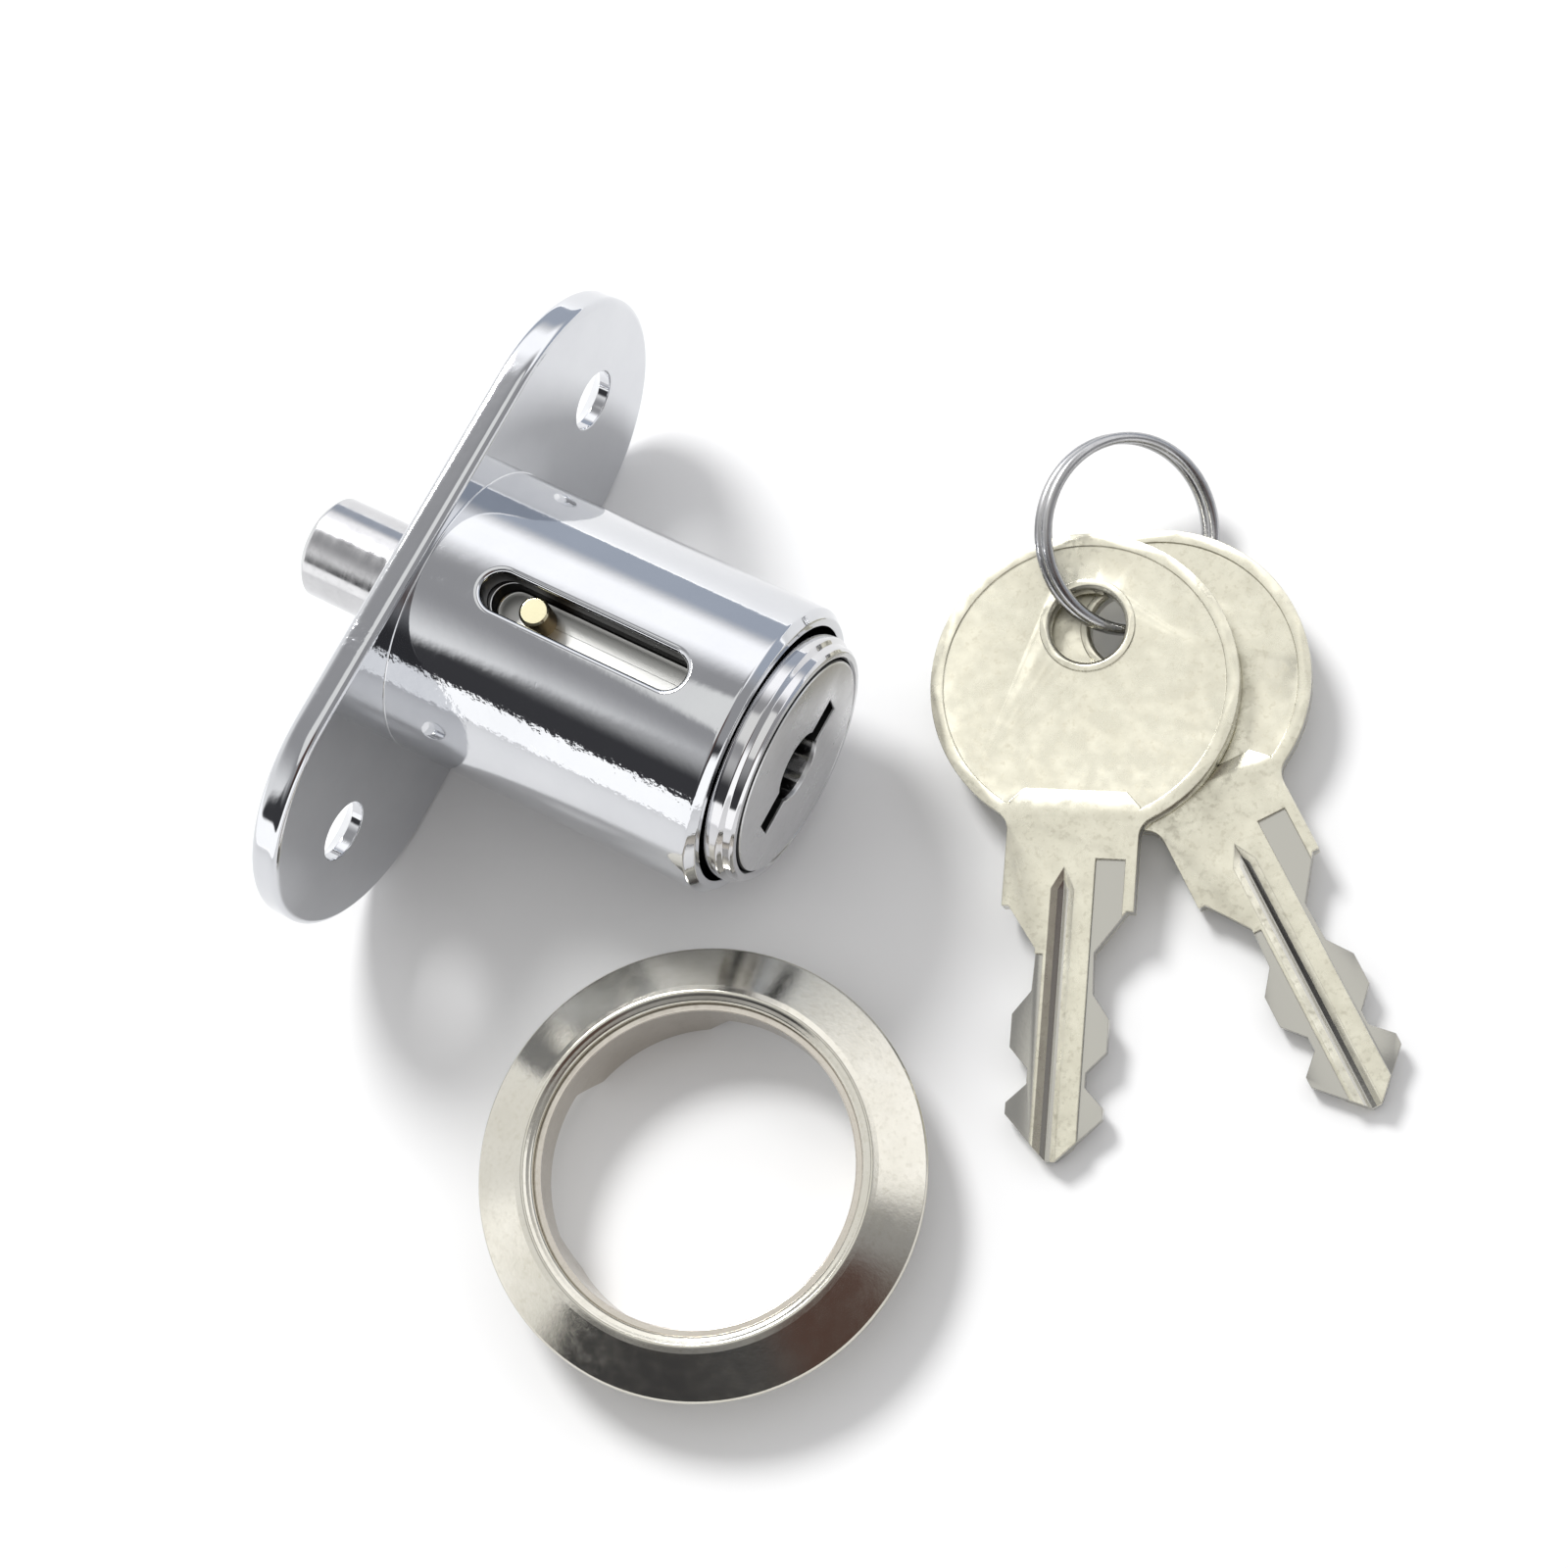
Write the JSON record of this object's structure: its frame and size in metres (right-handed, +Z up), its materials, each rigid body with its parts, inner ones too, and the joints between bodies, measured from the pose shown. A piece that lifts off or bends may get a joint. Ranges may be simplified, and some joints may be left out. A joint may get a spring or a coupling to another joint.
{
  "type": "push-button lock",
  "caption": "Push-button cabinet lock: flanged slotted barrel, keyed push cylinder with a locking bolt, trim ring, and matching keys on a split ring.",
  "frame": {"origin": "on the barrel's axis, in the front face of the flange, midway between the two screw holes", "axes": "+X along the barrel towards the key side, +Y along the flange through the screw holes, +Z up from the surface on which the lock, the rosette and the keys lie"},
  "size_m": [0.0743, 0.0682, 0.0204],
  "materials": {
    "chrome_housing": "bright chrome plate",
    "chrome_button": "bright chrome plate",
    "bolt_steel": "turned, nickel plated",
    "pin_brass": "turned brass",
    "spring_steel": "drawn spring wire",
    "leaf_steel": "spring steel strip",
    "rivet_steel": "plain steel",
    "plug_nickel": "satin nickel plate",
    "cam_steel": "stamped steel",
    "clip_steel": "spring steel",
    "wafer_brass": "stamped brass",
    "rosette_nickel": "warm nickel plate with a fine grain",
    "sleeve_nickel": "warm nickel plate",
    "key_nickel_silver": "stamped nickel silver",
    "ring_steel": "drawn spring wire"
  },
  "bodies": {
    "housing": {"housing": "chrome_housing", "return_spring": "spring_steel"},
    "push_cylinder": {"push_cylinder": "chrome_button", "bolt": "bolt_steel", "guide_pin": "pin_brass", "latch_leaf": "leaf_steel", "leaf_rivet": "rivet_steel"},
    "plug": {"plug": "plug_nickel", "cam_plate": "cam_steel", "tail_clip": "clip_steel", "wafer_spring_1": "spring_steel", "wafer_spring_2": "spring_steel", "wafer_spring_3": "spring_steel", "wafer_spring_4": "spring_steel", "wafer_spring_5": "spring_steel"},
    "wafer_1": {"wafer_1": "wafer_brass"},
    "wafer_2": {"wafer_2": "wafer_brass"},
    "wafer_3": {"wafer_3": "wafer_brass"},
    "wafer_4": {"wafer_4": "wafer_brass"},
    "wafer_5": {"wafer_5": "wafer_brass"},
    "rosette": {"rosette_ring": "rosette_nickel", "rosette_sleeve": "sleeve_nickel"},
    "split_ring": {"split_ring": "ring_steel"},
    "key_back": {"key_back": "key_nickel_silver"},
    "key_front": {"key_front": "key_nickel_silver"}
  },
  "joints": [
    {"name": "push_slide", "type": "slide", "parent": "housing", "child": "push_cylinder", "axis": [1, 0, 0], "range_m": [0, 0.0098], "deforming": ["return_spring", "latch_leaf"]},
    {"name": "plug_turn", "type": "hinge", "parent": "push_cylinder", "child": "plug", "pos_m": [0.016, 0, 0], "axis": [1, 0, 0], "range_deg": [0, 90], "deforming": ["latch_leaf"]},
    {"name": "wafer_1_slide", "type": "slide", "parent": "plug", "child": "wafer_1", "axis": [0, 1, 0], "range_m": [0, 0.0006], "deforming": ["wafer_spring_1"]},
    {"name": "wafer_2_slide", "type": "slide", "parent": "plug", "child": "wafer_2", "axis": [0, -1, 0], "range_m": [0, 0.0006], "deforming": ["wafer_spring_2"]},
    {"name": "wafer_3_slide", "type": "slide", "parent": "plug", "child": "wafer_3", "axis": [0, 1, 0], "range_m": [0, 0.0006], "deforming": ["wafer_spring_3"]},
    {"name": "wafer_4_slide", "type": "slide", "parent": "plug", "child": "wafer_4", "axis": [0, -1, 0], "range_m": [0, 0.0006], "deforming": ["wafer_spring_4"]},
    {"name": "wafer_5_slide", "type": "slide", "parent": "plug", "child": "wafer_5", "axis": [0, 1, 0], "range_m": [0, 0.0006], "deforming": ["wafer_spring_5"]},
    {"name": "rosette_lift", "type": "slide", "parent": "housing", "child": "rosette", "axis": [0, 0, 1], "range_m": [0, 0.025]},
    {"name": "keyring_lift", "type": "slide", "parent": "housing", "child": "split_ring", "axis": [0, 0, 1], "range_m": [0, 0.03]},
    {"name": "key_back_swing", "type": "hinge", "parent": "split_ring", "child": "key_back", "pos_m": [0.03643, 0.0187, -0.00767], "axis": [-0.0185, -0.1073, 0.9941], "range_deg": [0, 28]},
    {"name": "key_front_swing", "type": "hinge", "parent": "split_ring", "child": "key_front", "pos_m": [0.03434, 0.01738, -0.00624], "axis": [-0.0185, -0.1073, 0.9941], "range_deg": [0, 60]}
  ],
  "couplings": [
    {"joint": "wafer_2_slide", "follows": "wafer_1_slide", "ratio": 1},
    {"joint": "wafer_3_slide", "follows": "wafer_1_slide", "ratio": 1},
    {"joint": "wafer_4_slide", "follows": "wafer_1_slide", "ratio": 1},
    {"joint": "wafer_5_slide", "follows": "wafer_1_slide", "ratio": 1}
  ]
}
